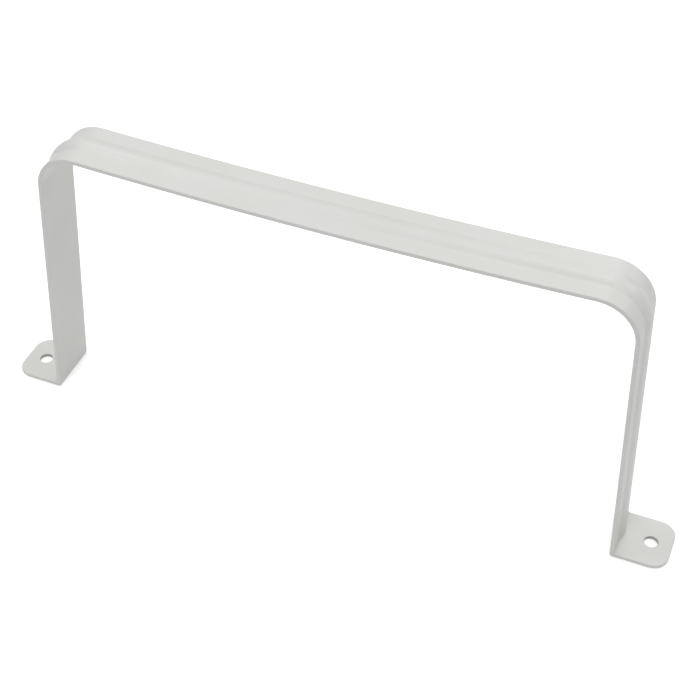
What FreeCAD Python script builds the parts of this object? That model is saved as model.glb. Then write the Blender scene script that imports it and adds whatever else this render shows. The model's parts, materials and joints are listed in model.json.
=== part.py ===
import FreeCAD, Part
import math
import os
import Sketcher

# Clamp that holds a rectangular ventilation duct against a wall or a ceiling.
# It is one moulded plastic strap: a bar that crosses the duct, a leg down each side of it and a
# foot turned out from each leg, with a hole for its screw. A rounded rib stiffens the outer face.
# Millimetres. X runs along the bar, Y across the strap and Z away from the wall. The origin lies
# on the wall, in the middle of the clamp.

SIZES = [
    ("duct_width", 120.0, "width of the duct that the clamp takes"),
    ("duct_height", 60.0, "height of that duct above the wall"),
    ("side_clearance", 0.8, "gap between the duct and each leg, level with the bar"),
    ("head_room", 6.2, "gap from the duct to where the lines of the bar and the legs cross"),
    ("bar_bow", 1.3, "how far the middle of the bar dips towards the duct"),
    ("leg_splay", 3.75, "degrees by which each leg leans out towards its foot"),
    ("strap_width", 12.6, "width of the strap"),
    ("strap_thickness", 0.95, "thickness of the strap beside the rib"),
    ("corner_radius", 8.0, "bend between bar and leg, on the duct side"),
    ("heel_radius", 0.7, "rounding between leg and foot, on the duct side"),
    ("crease_radius", 0.4, "rounding between leg and foot, on the screw's side"),
    ("foot_length", 11.7, "foot, from the leg's duct-side face to its end"),
    ("foot_corner_radius", 3.5, "rounding of the foot's two corners, seen from above"),
    ("screw_hole", 3.0, "diameter of the screw hole"),
    ("screw_offset", 7.25, "middle of the screw hole, from the leg's duct-side face"),
    ("rib_width", 4.6, "width of the rib where it leaves the strap"),
    ("rib_height", 0.72, "height of the rib above the strap"),
    ("rib_root", 0.3, "depth by which the rib is rooted in the strap and the feet"),
    ("edge_round", 0.2, "rounding along the strap's edges"),
]

# Sizes that several sketches share, written with the sheet's names.
CLEAR_WIDTH = "(sizes.duct_width + 2 * sizes.side_clearance)"
CLEAR_HEIGHT = "(sizes.duct_height + sizes.head_room)"
BAR_INSIDE = f"({CLEAR_HEIGHT} - sizes.bar_bow)"
BAR_OUTSIDE = f"({BAR_INSIDE} + sizes.strap_thickness)"
HEEL = f"({CLEAR_WIDTH} / 2 + {CLEAR_HEIGHT} * tan(sizes.leg_splay * 1 deg))"
RIB_END = "(sizes.strap_thickness - sizes.rib_root)"

# A sketch's origin and axes, and the ends and centre of a line or an arc, as a sketch numbers them.
ORIGIN = -1
ACROSS = -1
UP = -2
START = 1
END = 2
CENTRE = 3

TOLERANCE = 0.001

doc = FreeCAD.newDocument("duct_clamp")
sheet = doc.addObject("Spreadsheet::Sheet", "sizes")
for row, (alias, value, meaning) in enumerate(SIZES, 1):
    sheet.set(f"A{row}", meaning)
    sheet.set(f"B{row}", str(value))
    sheet.setAlias(f"B{row}", alias)
doc.recompute()

body = doc.addObject("PartDesign::Body", "duct_clamp")
body.Label = "duct_clamp"
planes = {feature.Role: feature for feature in body.Origin.OriginFeatures}


def size(alias):
    return float(sheet.get(alias))


# Where the sketches are first drawn, before their dimensions take over.
half_clear = size("duct_width") / 2 + size("side_clearance")
clear_height = size("duct_height") + size("head_room")
bar_inside = clear_height - size("bar_bow")
bar_outside = bar_inside + size("strap_thickness")
half_strap = size("strap_width") / 2
heel = half_clear + clear_height * math.tan(math.radians(size("leg_splay")))


def point(across, up):
    return FreeCAD.Vector(across, up, 0)


def sketch_on(plane, name):
    sketch = body.newObject("Sketcher::SketchObject", name)
    sketch.AttachmentSupport = [(planes[plane], "")]
    sketch.MapMode = "FlatFace"
    return sketch


def line(sketch, start, end):
    return sketch.addGeometry(Part.LineSegment(start, end), False)


def arc(sketch, centre, radius, first_degrees, last_degrees):
    circle = Part.Circle(centre, FreeCAD.Vector(0, 0, 1), radius)
    stretch = Part.ArcOfCircle(circle, math.radians(first_degrees), math.radians(last_degrees))
    return sketch.addGeometry(stretch, False)


def mark(sketch, across, up):
    """Adds a point that only carries dimensions."""
    return sketch.addGeometry(Part.Point(point(across, up)), True)


def hold(sketch, kind, *places):
    """Adds a constraint that has no size of its own."""
    sketch.addConstraint(Sketcher.Constraint(kind, *places))


def measure(sketch, name, expression, kind, *places):
    """Adds a named dimension and ties it to the sheet. The last place is its size as first drawn."""
    index = sketch.addConstraint(Sketcher.Constraint(kind, *places))
    sketch.renameConstraint(index, name)
    sketch.setExpression(f"Constraints.{name}", expression)


def arch(name):
    """Sketches the strap's duct-side face, seen along the duct: leg, corner, bar, corner, leg."""
    sketch = sketch_on("XZ_Plane", name)
    radius = size("corner_radius")
    shoulder = clear_height - radius
    inset = half_clear - radius
    low = size("strap_thickness")

    left_leg = line(sketch, point(-half_clear, low), point(-half_clear, shoulder))
    left_corner = arc(sketch, point(-inset, shoulder), radius, 90, 180)
    bowed = Part.Arc(point(-inset, clear_height), point(0, bar_inside), point(inset, clear_height))
    bar = sketch.addGeometry(bowed, False)
    right_corner = arc(sketch, point(inset, shoulder), radius, 0, 90)
    right_leg = line(sketch, point(half_clear, low), point(half_clear, shoulder))

    hold(sketch, "Tangent", left_leg, END, left_corner, END)
    hold(sketch, "Tangent", left_corner, START, bar, START)
    hold(sketch, "Tangent", bar, END, right_corner, END)
    hold(sketch, "Tangent", right_corner, START, right_leg, END)
    hold(sketch, "Equal", left_corner, right_corner)
    measure(sketch, "corner_radius", "sizes.corner_radius", "Radius", right_corner, radius)

    # The points where the lines of the bar and the legs cross, outside the rounded corners.
    left_cross = mark(sketch, -half_clear, clear_height)
    right_cross = mark(sketch, half_clear, clear_height)
    for cross, leg in ((left_cross, left_leg), (right_cross, right_leg)):
        hold(sketch, "PointOnObject", cross, START, leg)
        hold(sketch, "PointOnObject", cross, START, bar)
    hold(sketch, "Symmetric", left_cross, START, right_cross, START, UP)
    measure(sketch, "clear_width", CLEAR_WIDTH,
            "DistanceX", left_cross, START, right_cross, START, 2 * half_clear)
    measure(sketch, "clear_height", CLEAR_HEIGHT,
            "DistanceY", ORIGIN, START, right_cross, START, clear_height)

    dip = mark(sketch, 0, bar_inside)
    hold(sketch, "PointOnObject", dip, START, UP)
    hold(sketch, "PointOnObject", dip, START, bar)
    measure(sketch, "bar_inside", BAR_INSIDE, "DistanceY", ORIGIN, START, dip, START, bar_inside)

    upright = math.radians(90)
    measure(sketch, "left_lean", "90 deg - sizes.leg_splay * 1 deg", "Angle", left_leg, upright)
    measure(sketch, "right_lean", "90 deg + sizes.leg_splay * 1 deg", "Angle", right_leg, upright)
    return sketch, left_leg, right_leg


def sweep(name, section, path):
    """Sweeps a section, drawn across the middle of the bar, along the whole of a path."""
    pipe = body.newObject("PartDesign::AdditivePipe", name)
    pipe.Profile = section
    pipe.Spine = (path, [f"Edge{number}" for number in range(1, len(path.Shape.Edges) + 1)])
    pipe.Transition = "Right corner"
    doc.recompute()
    return pipe


def rounded(name, radius, wanted):
    """Rounds the edges of the body so far for which wanted says yes."""
    base = body.Tip
    chosen = [f"Edge{number}" for number, edge in enumerate(base.Shape.Edges, 1) if wanted(edge)]
    fillet = body.newObject("PartDesign::Fillet", name)
    fillet.Base = (base, chosen)
    fillet.setExpression("Radius", radius)
    doc.recompute()
    return fillet


# Strap: a flat section swept down one foot, over the duct and out along the other foot.

strap_line, left_leg, right_leg = arch("strap_line")
toe = half_clear + size("foot_length")

left_foot = line(strap_line, point(-half_clear, 0), point(-toe, 0))
right_foot = line(strap_line, point(half_clear, 0), point(toe, 0))
hold(strap_line, "Coincident", left_leg, START, left_foot, START)
hold(strap_line, "Coincident", right_leg, START, right_foot, START)
for foot in (left_foot, right_foot):
    hold(strap_line, "PointOnObject", foot, START, ACROSS)
    hold(strap_line, "PointOnObject", foot, END, ACROSS)
measure(strap_line, "left_foot", "sizes.foot_length",
        "DistanceX", left_foot, END, left_foot, START, size("foot_length"))
measure(strap_line, "right_foot", "sizes.foot_length",
        "DistanceX", right_foot, START, right_foot, END, size("foot_length"))

strap_section = sketch_on("YZ_Plane", "strap_section")
inner_edge = line(strap_section, point(-half_strap, bar_inside), point(half_strap, bar_inside))
right_edge = line(strap_section, point(half_strap, bar_inside), point(half_strap, bar_outside))
outer_edge = line(strap_section, point(half_strap, bar_outside), point(-half_strap, bar_outside))
left_edge = line(strap_section, point(-half_strap, bar_outside), point(-half_strap, bar_inside))
hold(strap_section, "Coincident", inner_edge, END, right_edge, START)
hold(strap_section, "Coincident", right_edge, END, outer_edge, START)
hold(strap_section, "Coincident", outer_edge, END, left_edge, START)
hold(strap_section, "Coincident", left_edge, END, inner_edge, START)
hold(strap_section, "Vertical", right_edge)
hold(strap_section, "Vertical", left_edge)
hold(strap_section, "Horizontal", outer_edge)
hold(strap_section, "Symmetric", inner_edge, START, inner_edge, END, UP)
measure(strap_section, "strap_width", "sizes.strap_width",
        "DistanceX", inner_edge, START, inner_edge, END, size("strap_width"))
measure(strap_section, "bar_inside", BAR_INSIDE,
        "DistanceY", ORIGIN, START, inner_edge, START, bar_inside)
measure(strap_section, "strap_thickness", "sizes.strap_thickness",
        "DistanceY", right_edge, START, right_edge, END, size("strap_thickness"))
doc.recompute()
sweep("strap", strap_section, strap_line)

# Where leg and foot meet, the strap is rounded on both faces, with a radius of its own on each.


def is_fold(edge, height):
    """Says whether an edge runs across the strap at this height, anywhere but at a foot's end."""
    box = edge.BoundBox
    across_strap = box.XLength < TOLERANCE and box.YLength > size("strap_width") - TOLERANCE
    at_height = max(abs(box.ZMin - height), abs(box.ZMax - height)) < TOLERANCE
    at_end = abs(box.Center.x) > heel + size("foot_length") - TOLERANCE
    return across_strap and at_height and not at_end


rounded("heels", "sizes.heel_radius", lambda edge: is_fold(edge, 0))
rounded("creases", "sizes.crease_radius", lambda edge: is_fold(edge, size("strap_thickness")))

# Rib: a low round-backed ridge along the middle of the outer face, from one foot to the other.
# Its section is cut from one circle, so it leaves the strap at the same angle all along.

rib_line, left_leg, right_leg = arch("rib_line")
for name, leg in (("left_end", left_leg), ("right_end", right_leg)):
    measure(rib_line, name, RIB_END, "DistanceY", ORIGIN, START, leg, START, size("strap_thickness"))

rib_section = sketch_on("YZ_Plane", "rib_section")
half_rib = size("rib_width") / 2
rib_bottom = bar_outside - size("rib_root")
rib_top = bar_outside + size("rib_height")
rib_root = line(rib_section, point(-half_rib, rib_bottom), point(half_rib, rib_bottom))
round_back = Part.Arc(point(half_rib, rib_bottom), point(0, rib_top), point(-half_rib, rib_bottom))
rib_back = rib_section.addGeometry(round_back, False)
hold(rib_section, "Coincident", rib_root, END, rib_back, START)
hold(rib_section, "Coincident", rib_root, START, rib_back, END)
hold(rib_section, "Symmetric", rib_root, START, rib_root, END, UP)
measure(rib_section, "rib_bottom", f"{BAR_OUTSIDE} - sizes.rib_root",
        "DistanceY", ORIGIN, START, rib_root, START, rib_bottom)

crest = mark(rib_section, 0, rib_top)
hold(rib_section, "PointOnObject", crest, START, UP)
hold(rib_section, "PointOnObject", crest, START, rib_back)
measure(rib_section, "rib_top", f"{BAR_OUTSIDE} + sizes.rib_height",
        "DistanceY", ORIGIN, START, crest, START, rib_top)

flank = mark(rib_section, half_rib, bar_outside)
hold(rib_section, "PointOnObject", flank, START, rib_back)
measure(rib_section, "half_rib", "sizes.rib_width / 2",
        "DistanceX", ORIGIN, START, flank, START, half_rib)
measure(rib_section, "bar_outside", BAR_OUTSIDE,
        "DistanceY", ORIGIN, START, flank, START, bar_outside)
doc.recompute()
sweep("rib", rib_section, rib_line)

# Feet: the two outer corners of each foot are rounded.


def is_foot_corner(edge):
    box = edge.BoundBox
    upright = box.XLength < TOLERANCE and box.YLength < TOLERANCE
    at_end = abs(box.Center.x) > heel + size("foot_length") - TOLERANCE
    return upright and at_end


rounded("foot_corners", "sizes.foot_corner_radius", is_foot_corner)

# Screw holes: one through each foot, on the strap's middle line.

screw_circles = sketch_on("XY_Plane", "screw_circles")
hole_across = heel + size("screw_offset")
hole_radius = size("screw_hole") / 2
holes = []
for across in (-hole_across, hole_across):
    circle = Part.Circle(point(across, 0), FreeCAD.Vector(0, 0, 1), hole_radius)
    holes.append(screw_circles.addGeometry(circle, False))
left_hole, right_hole = holes
hold(screw_circles, "PointOnObject", right_hole, CENTRE, ACROSS)
hold(screw_circles, "Symmetric", left_hole, CENTRE, right_hole, CENTRE, UP)
hold(screw_circles, "Equal", left_hole, right_hole)
measure(screw_circles, "screw_hole", "sizes.screw_hole", "Diameter", right_hole, size("screw_hole"))
measure(screw_circles, "screw_place", f"{HEEL} + sizes.screw_offset",
        "DistanceX", ORIGIN, START, right_hole, CENTRE, hole_across)
doc.recompute()

whole = body.Tip.Shape.Volume
screw_holes = body.newObject("PartDesign::Pocket", "screw_holes")
screw_holes.Profile = screw_circles
screw_holes.Type = "ThroughAll"
screw_holes.Reversed = True
doc.recompute()
drilled = 2 * math.pi * hole_radius ** 2 * size("strap_thickness")
if abs(whole - body.Tip.Shape.Volume - drilled) > TOLERANCE * whole:
    raise RuntimeError("the screw holes don't go through the feet")

# Edges: the strap's outline is rounded a little on both faces, as a moulding's edges are.


def is_outline(edge):
    box = edge.BoundBox
    across_foot = box.ZMax < size("strap_thickness") + TOLERANCE
    joins_faces = box.XLength < TOLERANCE and box.YLength < TOLERANCE and across_foot
    on_side = min(abs(box.YMin), abs(box.YMax)) > half_strap - TOLERANCE
    reach = min(abs(box.XMin), abs(box.XMax))
    on_foot_end = reach > heel + size("foot_length") - size("foot_corner_radius") - TOLERANCE
    return (on_side or on_foot_end) and not joins_faces


rounded("edges", "sizes.edge_round", is_outline)

# Nothing is written unless every step came out whole.

for item in doc.Objects:
    if "Invalid" in item.State or "Error" in item.State:
        raise RuntimeError(f"{item.Name} failed: {item.State}")
if body.Shape.isNull() or not body.Shape.isValid() or len(body.Shape.Solids) != 1:
    raise RuntimeError("the clamp isn't one whole solid")

os.makedirs("parts", exist_ok=True)
body.Shape.exportStep(f"parts/{body.Label}.step")
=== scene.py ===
import json
import math
import bmesh
import bpy
from mathutils import Matrix, Vector


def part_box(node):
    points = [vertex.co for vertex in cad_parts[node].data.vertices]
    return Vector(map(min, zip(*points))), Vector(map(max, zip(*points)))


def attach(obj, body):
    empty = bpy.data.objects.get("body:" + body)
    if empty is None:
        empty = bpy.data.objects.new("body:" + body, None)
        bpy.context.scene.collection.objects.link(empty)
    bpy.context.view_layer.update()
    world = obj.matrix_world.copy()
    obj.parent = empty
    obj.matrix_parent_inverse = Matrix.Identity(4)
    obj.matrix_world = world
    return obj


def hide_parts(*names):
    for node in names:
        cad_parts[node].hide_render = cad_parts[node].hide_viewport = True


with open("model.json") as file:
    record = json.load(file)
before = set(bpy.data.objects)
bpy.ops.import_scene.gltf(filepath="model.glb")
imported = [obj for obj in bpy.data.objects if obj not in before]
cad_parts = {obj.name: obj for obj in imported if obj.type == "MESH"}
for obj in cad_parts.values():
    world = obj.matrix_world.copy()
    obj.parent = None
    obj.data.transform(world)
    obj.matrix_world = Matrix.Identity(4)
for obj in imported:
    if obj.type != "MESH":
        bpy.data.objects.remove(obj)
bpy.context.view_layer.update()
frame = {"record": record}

# Clamp: one strap of off-white plastic, moulded in one piece. A bar that dips in its middle crosses
# the duct, a leg leans out down each side of it, and a foot turned out from each leg lies flat on
# the wall and takes a screw. A rounded rib stiffens the outer face from one foot to the other.

MM = 0.001
NEAR = 0.001 * MM               # points as close as this are one point

low_corner, high_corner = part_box("duct_clamp")
screws = next(mount["dims"] for mount in frame["record"]["mounts"] if mount["name"] == "screw_holes")
toe = high_corner.x             # end of the right foot
strap_width = high_corner.y - low_corner.y
screw_place = screws["spacing_x_mm"] / 2 * MM
screw_hole = screws["hole_r_mm"] * 2 * MM
screw_rim = 0.1 * MM
clear_width = 121.6 * MM        # between the legs, where their lines cross the bar's
clear_height = 66.2 * MM        # from the wall to that crossing
bar_bow = 1.3 * MM
strap_thickness = 0.95 * MM
corner_radius = 8.0 * MM        # on the duct side
heel_radius = 0.7 * MM          # leg to foot, on the duct side
crease_radius = 0.4 * MM        # leg to foot, on the screw's side
foot_length = 11.7 * MM         # from the leg's duct-side face
foot_corner_radius = 3.5 * MM
foot_land = 3.2 * MM            # stretch of the foot before the screw hole's field
foot_border = 0.8 * MM          # strip round that field
hole_border = 0.4 * MM          # strip round the hole
rib_width = 4.6 * MM
rib_height = 0.7 * MM
rib_front_blend = 0.15 * MM     # the rib's front root is crisp and its back root soft
rib_back_blend = 0.4 * MM
edge_round = 0.2 * MM
sharp_turn = math.radians(50)   # an edge that turns by more than this is rounded

bow_steps = 24
corner_steps = 24
fold_steps = 6
rib_steps = 8
foot_corner_steps = 12
hole_steps = 48

bar_inside = clear_height - bar_bow
bar_outside = bar_inside + strap_thickness
heel = toe - foot_length
leg_splay = math.atan((heel - clear_width / 2) / clear_height)


def verts_in(geometry):
    return [part for part in geometry if isinstance(part, bmesh.types.BMVert)]


def open_edges_in(geometry):
    return [part for part in geometry if isinstance(part, bmesh.types.BMEdge) and part.is_boundary]


def from_hole(point):
    return math.hypot(abs(point.x) - screw_place, point.y)


# The strap's section, drawn across the middle of the bar: a flat strip and the rib's round back.
strap = bmesh.new()
outer = strap.verts.layers.int.new("outer")
rib_radius = (rib_width ** 2 / 4 + rib_height ** 2) / (2 * rib_height)
rib_centre = (0, 0, bar_outside + rib_height - rib_radius)
rib_arc = 2 * math.asin(rib_width / 2 / rib_radius)
back_root = strap.verts.new((0, rib_width / 2, bar_outside))
crest = bmesh.ops.spin(strap, geom=[back_root], cent=rib_centre, axis=(1, 0, 0), angle=rib_arc,
                       steps=rib_steps)
front_root = verts_in(crest["geom_last"])[0]
strip = [(-1, bar_outside), (-1, bar_inside), (1, bar_inside), (1, bar_outside)]
strip = [strap.verts.new((0, side * strap_width / 2, height)) for side, height in strip]
for start, end in zip([front_root, *strip], [*strip, back_root]):
    strap.edges.new((start, end))
for vert in strap.verts:
    vert[outer] = vert.co.z > bar_outside - NEAR
for root, blend in ((front_root, rib_front_blend), (back_root, rib_back_blend)):
    bmesh.ops.bevel(strap, geom=[root], offset=blend, offset_type="OFFSET", segments=3,
                    profile=0.5, affect="VERTICES", material=-1)

# The corner's arc touches the bar's arc and the leg's line. So its centre is on a line beside the
# leg's, one corner radius into the duct, where it is both arcs' radii away from the bow's centre.
bow_radius = (clear_width ** 2 / 4 + bar_bow ** 2) / (2 * bar_bow)
bow_centre = Vector((0, 0, bar_inside + bow_radius))
down_leg = Vector((math.sin(leg_splay), 0, -math.cos(leg_splay)))
into_duct = Vector((-math.cos(leg_splay), 0, -math.sin(leg_splay)))
line_start = Vector((clear_width / 2, 0, clear_height)) + corner_radius * into_duct
along = (line_start - bow_centre).dot(down_leg)
excess = (line_start - bow_centre).length_squared - (bow_radius + corner_radius) ** 2
corner_centre = line_start + down_leg * (math.sqrt(along ** 2 - excess) - along)
bow_angle = math.atan2(corner_centre.x, bow_centre.z - corner_centre.z)
corner_angle = math.pi / 2 + bow_angle - leg_splay

# Half the strap is swept from the bar's middle: along the bow and round the corner.
ring = strap.verts[:] + strap.edges[:]
bow = bmesh.ops.spin(strap, geom=ring, cent=bow_centre, axis=(0, -1, 0), angle=bow_angle,
                     steps=bow_steps)
corner = bmesh.ops.spin(strap, geom=bow["geom_last"], cent=corner_centre, axis=(0, 1, 0),
                        angle=corner_angle, steps=corner_steps)

# The leg runs on to where the strap turns out into the foot. There the duct side and the outer side
# each turn about a centre of their own, which lies outside the leg, so the rib ends on the foot.
ring = bmesh.ops.extrude_edge_only(strap, edges=open_edges_in(corner["geom_last"]))["geom"]
for vert in verts_in(ring):
    radius, level = (crease_radius, strap_thickness) if vert[outer] else (heel_radius, 0)
    level += radius * (1 - math.sin(leg_splay))
    vert.co += down_leg * (vert.co.z - level) / math.cos(leg_splay)
turn = Matrix.Rotation(-(math.pi / 2 - leg_splay) / fold_steps, 3, "Y")
outward = -into_duct
for step in range(fold_steps):
    ring = bmesh.ops.extrude_edge_only(strap, edges=open_edges_in(ring))["geom"]
    for vert in verts_in(ring):
        centre = vert.co + outward * (crease_radius if vert[outer] else heel_radius)
        bmesh.ops.rotate(strap, verts=[vert], cent=centre, matrix=turn)
    outward = turn @ outward
for reach in (heel + foot_land, toe):
    ring = bmesh.ops.extrude_edge_only(strap, edges=open_edges_in(ring))["geom"]
    for vert in verts_in(ring):
        vert.co.x = reach
bmesh.ops.edgeloop_fill(strap, edges=open_edges_in(ring))
strap.verts.layers.int.remove(outer)

# The foot's two corners are rounded.
corners = [edge for edge in strap.edges
           if all(vert.co.x > toe - NEAR for vert in edge.verts)
           and abs(edge.verts[0].co.z - edge.verts[1].co.z) > strap_thickness - NEAR]
bmesh.ops.bevel(strap, geom=corners, offset=foot_corner_radius, offset_type="OFFSET",
                segments=foot_corner_steps, profile=0.5, affect="EDGES", material=-1)

# The screw hole is let into the upper and the lower face of the foot's end. A narrow border round
# the face and one round the hole keep their edges clean for rounding.
rims = []
for level in (0, strap_thickness):
    field = [face for face in strap.faces
             if all(abs(vert.co.z - level) < NEAR for vert in face.verts)
             and all(vert.co.x > heel + foot_land - NEAR for vert in face.verts)]
    field = bmesh.ops.dissolve_faces(strap, faces=field)["region"] or field
    bmesh.ops.inset_region(strap, faces=field, thickness=foot_border, use_even_offset=True)
    gap_edges = [edge for face in field for edge in face.edges]
    bmesh.ops.delete(strap, geom=field, context="FACES_ONLY")
    place = Matrix.Translation((screw_place, 0, level))
    circle = bmesh.ops.create_circle(strap, cap_ends=False, radius=screw_hole / 2,
                                     segments=hole_steps, matrix=place)
    rim = list({edge for vert in circle["verts"] for edge in vert.link_edges})
    border = bmesh.ops.extrude_edge_only(strap, edges=rim)["geom"]
    bmesh.ops.scale(strap, verts=verts_in(border), space=place.inverted(),
                    vec=[1 + hole_border / (screw_hole / 2)] * 3)
    rim_ends = {vert for edge in rim for vert in edge.verts}
    gap_edges += [edge for edge in open_edges_in(border) if not rim_ends & set(edge.verts)]
    bmesh.ops.triangle_fill(strap, edges=gap_edges, use_beauty=True, normal=(0, 0, 1))
    rims += rim
bmesh.ops.bridge_loops(strap, edges=rims)

# The other half is the same. Then every edge along the strap and round the holes is rounded a little,
# and the faces of the holes' walls are marked, so that the material paints shade on them.
bmesh.ops.mirror(strap, geom=strap.verts[:] + strap.edges[:] + strap.faces[:], merge_dist=NEAR, axis="X")
bmesh.ops.remove_doubles(strap, verts=strap.verts[:], dist=NEAR)
bmesh.ops.recalc_face_normals(strap, faces=strap.faces[:])
for on_rim, radius, segments in ((True, screw_rim, 2), (False, edge_round, 3)):
    edges = []
    for edge in strap.edges:
        middle = (edge.verts[0].co + edge.verts[1].co) / 2
        near_hole = from_hole(middle) < screw_hole / 2 + screw_rim
        if edge.calc_face_angle() > sharp_turn and on_rim == near_hole:
            edges.append(edge)
    bmesh.ops.bevel(strap, geom=edges, offset=radius, offset_type="OFFSET", segments=segments,
                    profile=0.5, affect="EDGES", material=-1)
# Mask of the screw holes' walls, where the material paints shade.
painted_hole_shade = strap.faces.layers.float.new("painted_hole_shade")
for face in strap.faces:
    face[painted_hole_shade] = from_hole(face.calc_center_median()) < screw_hole / 2
    face.smooth = True
strap_mesh = bpy.data.meshes.new("clamp_strap")
strap.to_mesh(strap_mesh)
strap.free()
clamp = bpy.data.objects.new("clamp_strap", strap_mesh)
bpy.context.scene.collection.objects.link(clamp)
even_shading = clamp.modifiers.new("even_shading", "WEIGHTED_NORMAL")
even_shading.weight = 100

# Off-white plastic with a satin skin. The colour and the gloss drift a little from place to place,
# the faces are not quite true and a fine grain from the mould covers them. The walls of the screw
# holes are painted a darker grey: painted shade for the little light that reaches into them.
cream_white = (0.688, 0.692, 0.664, 1)
cool_white = (0.712, 0.712, 0.696, 1)
# painted shade inside the screw holes
hole_shade_grey = (0.46, 0.46, 0.44, 1)
smoothest, roughest = 0.3, 0.36
wave_height = 0.08 * MM
grain_height = 0.008 * MM
noise_low, noise_high = 0.3, 0.7    # nearly all of a noise lies between these

plastic = bpy.data.materials.new("white_plastic")
plastic.use_nodes = True
nodes, links = plastic.node_tree.nodes, plastic.node_tree.links
surface = nodes["Principled BSDF"]
on_clamp = nodes.new("ShaderNodeTexCoord")


def noise_over_clamp(size, detail):
    noise = nodes.new("ShaderNodeTexNoise")
    noise.inputs["Scale"].default_value = 1 / size
    noise.inputs["Detail"].default_value = detail
    links.new(on_clamp.outputs["Object"], noise.inputs["Vector"])
    return noise.outputs["Fac"]


tint = nodes.new("ShaderNodeValToRGB")
tint.color_ramp.elements[0].position = noise_low
tint.color_ramp.elements[0].color = cream_white
tint.color_ramp.elements[1].position = noise_high
tint.color_ramp.elements[1].color = cool_white
links.new(noise_over_clamp(size=14 * MM, detail=3), tint.inputs["Fac"])
# The holes' walls take the grey of painted shade instead of the tint.
hole_shade_mask = nodes.new("ShaderNodeAttribute")
hole_shade_mask.attribute_name = "painted_hole_shade"
skin_or_painted_shade = nodes.new("ShaderNodeMixRGB")
skin_or_painted_shade.inputs["Color2"].default_value = hole_shade_grey
links.new(hole_shade_mask.outputs["Fac"], skin_or_painted_shade.inputs["Fac"])
links.new(tint.outputs["Color"], skin_or_painted_shade.inputs["Color1"])
links.new(skin_or_painted_shade.outputs["Color"], surface.inputs["Base Color"])

gloss = nodes.new("ShaderNodeMapRange")
gloss.inputs["From Min"].default_value = noise_low
gloss.inputs["From Max"].default_value = noise_high
gloss.inputs["To Min"].default_value = smoothest
gloss.inputs["To Max"].default_value = roughest
links.new(noise_over_clamp(size=5 * MM, detail=4), gloss.inputs["Value"])
links.new(gloss.outputs["Result"], surface.inputs["Roughness"])

waves = nodes.new("ShaderNodeBump")
waves.inputs["Strength"].default_value = 1
waves.inputs["Distance"].default_value = wave_height
links.new(noise_over_clamp(size=9 * MM, detail=1), waves.inputs["Height"])
grain = nodes.new("ShaderNodeBump")
grain.inputs["Strength"].default_value = 1
grain.inputs["Distance"].default_value = grain_height
links.new(noise_over_clamp(size=0.4 * MM, detail=2), grain.inputs["Height"])
links.new(waves.outputs["Normal"], grain.inputs["Normal"])
links.new(grain.outputs["Normal"], surface.inputs["Normal"])
strap_mesh.materials.append(plastic)

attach(clamp, "root")
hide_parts("duct_clamp")

# Floor: a round sheet of white studio paper that the clamp stands on. The camera sees it overexposed,
# so that only a breath of the shadow is left.

paper_radius = 0.45
paper_white = (0.92, 0.92, 0.92, 1)
overexposure = (0.3, 0.3, 0.3, 1)

paper = bmesh.new()
bmesh.ops.create_circle(paper, cap_ends=True, radius=paper_radius, segments=96)
floor_mesh = bpy.data.meshes.new("floor")
paper.to_mesh(floor_mesh)
paper.free()
floor = bpy.data.objects.new("floor", floor_mesh)
bpy.context.scene.collection.objects.link(floor)
white_paper = bpy.data.materials.new("white_paper")
white_paper.use_nodes = True
sheet = white_paper.node_tree.nodes["Principled BSDF"]
sheet.inputs["Base Color"].default_value = paper_white
sheet.inputs["Roughness"].default_value = 0.9
sheet.inputs["Emission Color"].default_value = overexposure
seen = white_paper.node_tree.nodes.new("ShaderNodeLightPath")
white_paper.node_tree.links.new(seen.outputs["Is Camera Ray"], sheet.inputs["Emission Strength"])
floor_mesh.materials.append(white_paper)

# Light: four round soft boxes overhead, the strongest in front, three weak ones lower down behind, a
# small lamp close to the clamp that draws a light line on the rib, and a pale room all round, which
# looks white behind the floor. Each light points at the middle of the floor.

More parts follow.
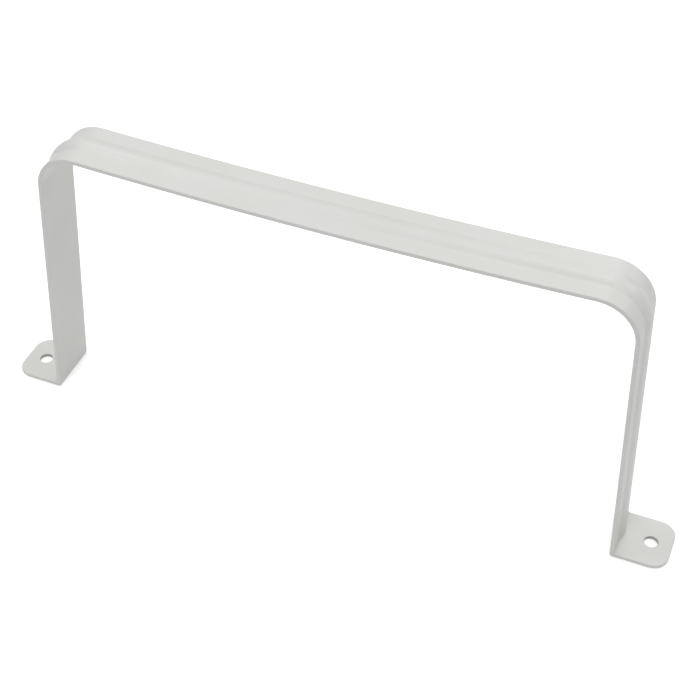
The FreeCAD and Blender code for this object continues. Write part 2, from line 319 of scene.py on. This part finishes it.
SOFT_BOXES = [                  # name, watts, width and place
    ("front", 10.4, 0.75, (0, -0.85, 1.81)),
    ("left", 4.7, 0.75, (-0.85, 0, 1.81)),
    ("back", 5.7, 0.75, (0, 0.85, 1.81)),
    ("right", 3.4, 0.75, (0.85, 0, 1.81)),
    ("low_right", 2.8, 0.75, (1.16, 1.16, 1.15)),
    ("low_back", 1.7, 0.75, (0, 1.64, 1.15)),
    ("lowest_back", 1.4, 0.75, (0, 1.96, 0.42)),
    ("close_lamp", 0.041, 0.06, (-0.161, 0.136, 0.302)),
]
for name, watts, width, spot in SOFT_BOXES:
    soft_box = bpy.data.lights.new(name, "AREA")
    soft_box.shape = "DISK"
    soft_box.size = width
    soft_box.energy = watts
    stand = bpy.data.objects.new(name, soft_box)
    stand.location = spot
    stand.rotation_euler = Vector(spot).to_track_quat("Z", "Y").to_euler()
    bpy.context.scene.collection.objects.link(stand)

room_white = (1, 1, 1, 1)
room = bpy.data.worlds.new("room")
room.use_nodes = True
room_nodes, room_links = room.node_tree.nodes, room.node_tree.links
walls = room_nodes["Background"]
walls.inputs["Color"].default_value = room_white
walls.inputs["Strength"].default_value = 0.361
backdrop = room_nodes.new("ShaderNodeBackground")
backdrop.inputs["Color"].default_value = room_white
in_view = room_nodes.new("ShaderNodeLightPath")
either = room_nodes.new("ShaderNodeMixShader")
room_links.new(in_view.outputs["Is Camera Ray"], either.inputs["Fac"])
room_links.new(walls.outputs["Background"], either.inputs[1])
room_links.new(backdrop.outputs["Background"], either.inputs[2])
room_links.new(either.outputs["Shader"], room_nodes["World Output"].inputs["Surface"])
bpy.context.scene.world = room
bpy.context.scene.view_settings.view_transform = "Standard"

# Camera: a long lens, in front of the clamp's right end and well above it. The lens is shifted a
# little, because the picture's middle lies off the lens's axis.

lens = bpy.data.cameras.new("camera")
lens.lens = 74.60
lens.sensor_width = 36
lens.shift_x = 0.0381
lens.shift_y = 0.0596
lens.clip_start = 10 * MM
camera = bpy.data.objects.new("camera", lens)
camera.location = (81.20 * MM, -204.34 * MM, 235.16 * MM)
camera.rotation_euler = [math.radians(angle) for angle in (45.361, -0.228, 22.441)]
bpy.context.scene.collection.objects.link(camera)
bpy.context.scene.camera = camera
